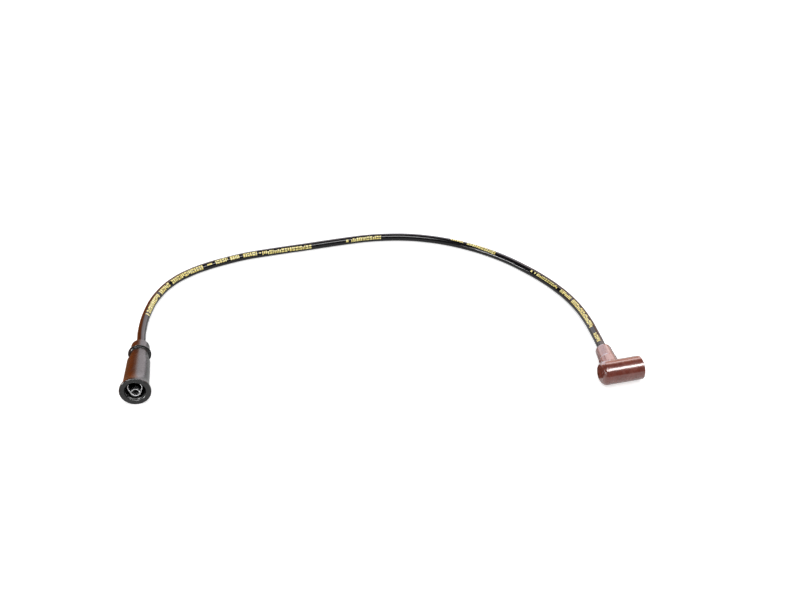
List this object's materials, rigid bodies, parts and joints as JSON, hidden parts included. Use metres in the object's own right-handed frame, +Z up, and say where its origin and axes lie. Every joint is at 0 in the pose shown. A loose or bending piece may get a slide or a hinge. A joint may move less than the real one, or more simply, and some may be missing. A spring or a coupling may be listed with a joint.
{
  "type": "spark plug wire",
  "caption": "Flexible high-tension ignition lead between a straight flanged rubber boot and an elbow boot, each round a crimped metal terminal.",
  "frame": {"origin": "on the surface the lead lies on, under the middle of the box round both boots", "axes": "+X from the tower boot to the plug boot, +Z up, the cable loops out towards +Y"},
  "size_m": [0.4075, 0.2383, 0.0242],
  "materials": {
    "cable_jacket": "glossy black synthetic rubber with yellow print",
    "black_rubber": "smooth moulded black rubber",
    "brown_silicone": "glossy moulded brown silicone",
    "terminal_steel": "bright plated sheet and wire",
    "terminal_brass": "bright stamped sheet",
    "conductor_strand": "carbon-loaded fibre strand"
  },
  "bodies": {
    "root": {"ignition_cable": "cable_jacket", "tower_boot": "black_rubber", "tower_terminal": "terminal_steel", "tower_spring": "terminal_steel", "tower_conductor": "conductor_strand", "plug_boot": "brown_silicone", "plug_terminal": "terminal_brass", "plug_clip": "terminal_steel", "plug_conductor": "conductor_strand"}
  },
  "joints": []
}
